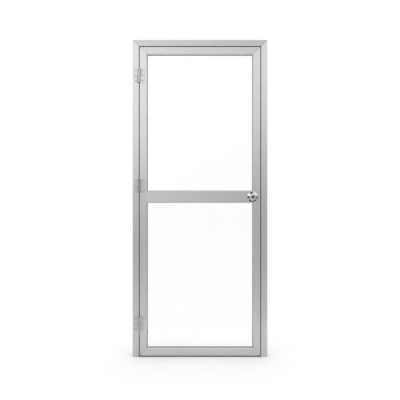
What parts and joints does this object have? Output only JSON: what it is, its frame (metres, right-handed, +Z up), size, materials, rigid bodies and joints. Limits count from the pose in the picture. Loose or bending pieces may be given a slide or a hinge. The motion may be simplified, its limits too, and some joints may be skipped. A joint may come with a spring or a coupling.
{
  "type": "glass door with frame",
  "caption": "Aluminium-framed clear glass door in its three-sided frame, hinged on the left, with a mid rail, surface hinges and a keyed round knob latch.",
  "frame": {"origin": "on the floor, at mid width, in the middle of the leaf's thickness", "axes": "+Z up, +Y from the hinge-barrel side to the stop side, +X from the hinges to the lock"},
  "size_m": [0.85, 0.1322, 2],
  "materials": {
    "anodised": "natural anodised, satin",
    "hinge_alloy": "natural anodised, satin",
    "cast_alloy": "as cast",
    "glass": "clear float glass",
    "chrome": "polished chrome plate",
    "steel": "zinc-plated",
    "dark_nickel": "dark nickel plate",
    "gasket": "matt",
    "nylon": "matt"
  },
  "bodies": {
    "frame": {"frame_head": "anodised", "frame_jamb_hinge": "anodised", "frame_jamb_lock": "anodised", "frame_corner_cleats": "cast_alloy", "seal_head": "gasket", "seal_hinge_jamb": "gasket", "seal_lock_jamb": "gasket", "strike_plate": "steel", "strike_screws": "steel", "hinge_bottom_frame_plate": "hinge_alloy", "hinge_bottom_pin": "steel", "hinge_middle_frame_plate": "hinge_alloy", "hinge_middle_pin": "steel", "hinge_top_frame_plate": "hinge_alloy", "hinge_top_pin": "steel", "hinge_washers": "nylon", "hinge_frame_screws": "steel"},
    "leaf": {"stile_hinge": "anodised", "stile_lock": "anodised", "rail_top": "anodised", "rail_bottom": "anodised", "rail_mid": "anodised", "leaf_corner_cleats": "cast_alloy", "mid_rail_connectors": "cast_alloy", "glass_upper": "glass", "glass_lower": "glass", "gasket_upper_front": "gasket", "gasket_upper_back": "gasket", "gasket_lower_front": "gasket", "gasket_lower_back": "gasket", "bead_upper_top": "anodised", "bead_upper_bottom": "anodised", "bead_upper_left": "anodised", "bead_upper_right": "anodised", "bead_lower_top": "anodised", "bead_lower_bottom": "anodised", "bead_lower_left": "anodised", "bead_lower_right": "anodised", "setting_blocks": "nylon", "bottom_seal": "gasket", "hinge_bottom_leaf_plate": "hinge_alloy", "hinge_middle_leaf_plate": "hinge_alloy", "hinge_top_leaf_plate": "hinge_alloy", "hinge_leaf_screws": "steel", "rose_front": "chrome", "rose_back": "chrome", "rose_plate_front": "steel", "rose_plate_back": "steel", "rose_screws": "steel", "latch_case": "steel", "latch_spring": "steel", "latch_faceplate": "steel", "faceplate_screws": "steel"},
    "knob": {"knob_front": "chrome", "knob_back": "chrome", "spindle": "steel", "latch_hub": "steel"},
    "latch": {"latch_bolt": "steel"},
    "key_plug": {"key_plug": "dark_nickel"},
    "turn_button": {"turn_button": "chrome"}
  },
  "joints": [
    {"name": "door_swing", "type": "hinge", "parent": "frame", "child": "leaf", "pos_m": [-0.3835, -0.0278, 0], "axis": [0, 0, -1], "range_deg": [0, 170]},
    {"name": "knob_turn", "type": "hinge", "parent": "leaf", "child": "knob", "pos_m": [0.331, 0, 1.01], "axis": [0, -1, 0], "range_deg": [0, 70], "stiffness_Nm_per_rad": 0.5},
    {"name": "latch_slide", "type": "slide", "parent": "leaf", "child": "latch", "axis": [-1, 0, 0], "range_m": [0, 0.01], "deforming": ["latch_spring"]},
    {"name": "key_turn", "type": "hinge", "parent": "knob", "child": "key_plug", "pos_m": [0.331, -0.06, 1.01], "axis": [0, -1, 0], "range_deg": [0, 90]},
    {"name": "button_turn", "type": "hinge", "parent": "knob", "child": "turn_button", "pos_m": [0.331, 0.06, 1.01], "axis": [0, 1, 0], "range_deg": [0, 90]}
  ],
  "couplings": [
    {"joint": "latch_slide", "follows": "knob_turn", "m_per_rad": 0.008185}
  ]
}
